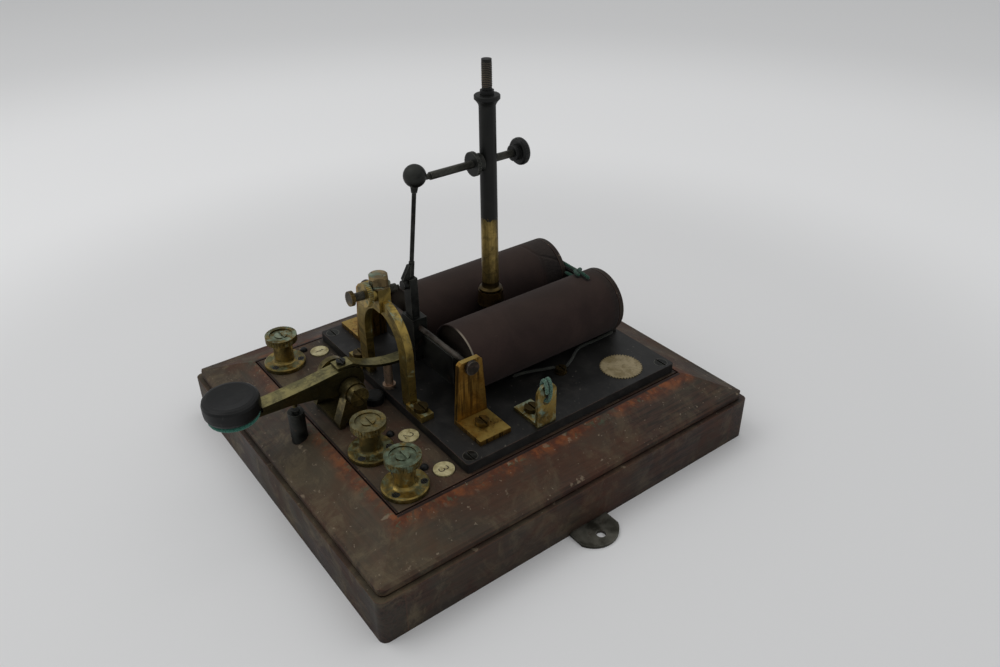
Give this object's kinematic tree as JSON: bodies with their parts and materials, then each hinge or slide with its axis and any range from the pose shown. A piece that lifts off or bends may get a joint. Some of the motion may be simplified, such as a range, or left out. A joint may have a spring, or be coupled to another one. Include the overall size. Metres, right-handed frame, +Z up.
{
  "type": "telegraph instrument",
  "caption": "Telegraph instrument: tapper key, twin-coil electromagnet with hammer armature, pillar with adjustable stop and milled terminals on a hollow moulded wooden base.",
  "frame": {"origin": "centre of the wooden base's underside", "axes": "+X from the operator's left to right, +Y from the key knob to the rear, +Z up"},
  "size_m": [0.2638, 0.2805, 0.2202],
  "materials": {
    "mahogany": "worn french polish",
    "dark_wood": "oiled",
    "black_slab": "satin ebonite",
    "brass": "aged, unpolished",
    "dull_brass": "tarnished",
    "dark_steel": "blued and darkened",
    "iron": "blackened",
    "ebonite": "satin",
    "coil_paper": "varnished cover paper",
    "winding_copper": "covered copper wire, hidden",
    "copper": "plain strip, hidden",
    "ivory": "aged",
    "gilt": "embossed foil",
    "cloth_green": "silk covering and baize",
    "cloth_dark": "waxed cotton covering"
  },
  "bodies": {
    "base": {"plinth_ends": "mahogany", "plinth_sides": "mahogany", "bottom_board": "dark_wood", "base_screws": "dark_steel", "top_board": "mahogany", "bench_lugs": "dark_steel", "slab": "black_slab", "slab_screws": "dark_steel", "foot_screws": "dark_steel", "terminal_pillars": "brass", "terminal_screws": "dark_steel", "number_discs": "ivory", "panel_pins": "ebonite", "under_nuts": "brass", "under_straps": "copper", "seal_disc": "gilt", "key_standard": "dull_brass", "key_axle": "dark_steel", "front_contact": "dark_steel", "rear_contact": "brass", "ebonite_button": "ebonite", "arch": "brass", "clamp_washer": "dull_brass", "arbor_brackets": "brass", "cores": "iron", "coil_cheeks": "dark_wood", "windings": "winding_copper", "coil_covers": "coil_paper", "yoke": "iron", "yoke_screws": "dark_steel", "pillar_pedestal": "brass", "pillar": "brass", "wire_terminal": "brass", "coil_leads": "cloth_dark", "green_wires": "cloth_green"},
    "key": {"key_lever": "dull_brass", "key_knob": "ebonite", "knob_washer": "cloth_green", "lever_screws": "dark_steel", "key_tail": "dull_brass", "key_contact_tip": "dark_steel"},
    "hammer": {"arbor": "dark_steel", "hammer_carrier": "dark_steel", "armature": "iron", "armature_screws": "dark_steel", "hammer_rod": "dark_steel", "hammer_ball": "dark_steel"},
    "stop_rod": {"stop_screw": "dark_steel"},
    "stop_knob": {"stop_head": "ebonite"},
    "stop_nut": {"stop_lock_nut": "dark_steel"},
    "contact_rod": {"contact_screw": "dark_steel"},
    "contact_knob": {"contact_head": "dull_brass"},
    "contact_nut": {"contact_lock_nut": "dull_brass"},
    "clamp": {"clamp_screw": "dull_brass"},
    "screw_1": {"terminal_shank_1": "dull_brass"},
    "cap_1": {"terminal_cap_1": "brass"},
    "screw_2": {"terminal_shank_2": "dull_brass"},
    "cap_2": {"terminal_cap_2": "brass"},
    "screw_3": {"terminal_shank_3": "dull_brass"},
    "cap_3": {"terminal_cap_3": "brass"}
  },
  "joints": [
    {"name": "key_press", "type": "hinge", "parent": "base", "child": "key", "pos_m": [-0.003, -0.0765, 0.0615], "axis": [1, 0, 0], "range_deg": [0, 2.8], "stiffness_Nm_per_rad": 0.6, "springref_deg": -4.01},
    {"name": "hammer_swing", "type": "hinge", "parent": "base", "child": "hammer", "pos_m": [-0.003, -0.03, 0.0822], "axis": [1, 0, 0], "range_deg": [0, 3.4]},
    {"name": "stop_slide", "type": "slide", "parent": "base", "child": "stop_rod", "axis": [0, 1, 0], "range_m": [0, 0.003]},
    {"name": "stop_turn", "type": "hinge", "parent": "stop_rod", "child": "stop_knob", "pos_m": [-0.003, 0.045, 0.1663], "axis": [0, 1, 0], "range_deg": [0, 1083]},
    {"name": "stop_nut_turn", "type": "hinge", "parent": "base", "child": "stop_nut", "pos_m": [-0.003, 0.015, 0.1663], "axis": [0, 1, 0], "range_deg": [0, 90]},
    {"name": "contact_slide", "type": "slide", "parent": "base", "child": "contact_rod", "axis": [0, -0.9962, 0.0872], "range_m": [0, 0.003]},
    {"name": "contact_turn", "type": "hinge", "parent": "contact_rod", "child": "contact_knob", "pos_m": [-0.003, -0.0497, 0.11], "axis": [0, 0.9962, -0.0872], "range_deg": [0, 1083]},
    {"name": "contact_nut_turn", "type": "hinge", "parent": "base", "child": "contact_nut", "pos_m": [-0.003, -0.0497, 0.11], "axis": [0, 0.9962, -0.0872], "range_deg": [0, 90]},
    {"name": "clamp_turn", "type": "hinge", "parent": "base", "child": "clamp", "pos_m": [-0.003, -0.0501, 0.118], "axis": [0, 0, 1], "range_deg": [0, 90]},
    {"name": "terminal_rise_1", "type": "slide", "parent": "base", "child": "screw_1", "axis": [0, 0, 1], "range_m": [0, 0.003]},
    {"name": "terminal_turn_1", "type": "hinge", "parent": "screw_1", "child": "cap_1", "pos_m": [-0.07, -0.0838, 0.0582], "axis": [0, 0, 1], "range_deg": [0, 1083]},
    {"name": "terminal_rise_2", "type": "slide", "parent": "base", "child": "screw_2", "axis": [0, 0, 1], "range_m": [0, 0.003]},
    {"name": "terminal_turn_2", "type": "hinge", "parent": "screw_2", "child": "cap_2", "pos_m": [0.035, -0.0838, 0.0582], "axis": [0, 0, 1], "range_deg": [0, 1083]},
    {"name": "terminal_rise_3", "type": "slide", "parent": "base", "child": "screw_3", "axis": [0, 0, 1], "range_m": [0, 0.003]},
    {"name": "terminal_turn_3", "type": "hinge", "parent": "screw_3", "child": "cap_3", "pos_m": [0.069, -0.0838, 0.0582], "axis": [0, 0, 1], "range_deg": [0, 1083]}
  ],
  "couplings": [
    {"joint": "stop_turn", "follows": "stop_slide", "rad_per_m": 6283.2},
    {"joint": "contact_turn", "follows": "contact_slide", "rad_per_m": 6283.2},
    {"joint": "terminal_turn_1", "follows": "terminal_rise_1", "rad_per_m": 6283.2},
    {"joint": "terminal_turn_2", "follows": "terminal_rise_2", "rad_per_m": 6283.2},
    {"joint": "terminal_turn_3", "follows": "terminal_rise_3", "rad_per_m": 6283.2}
  ]
}
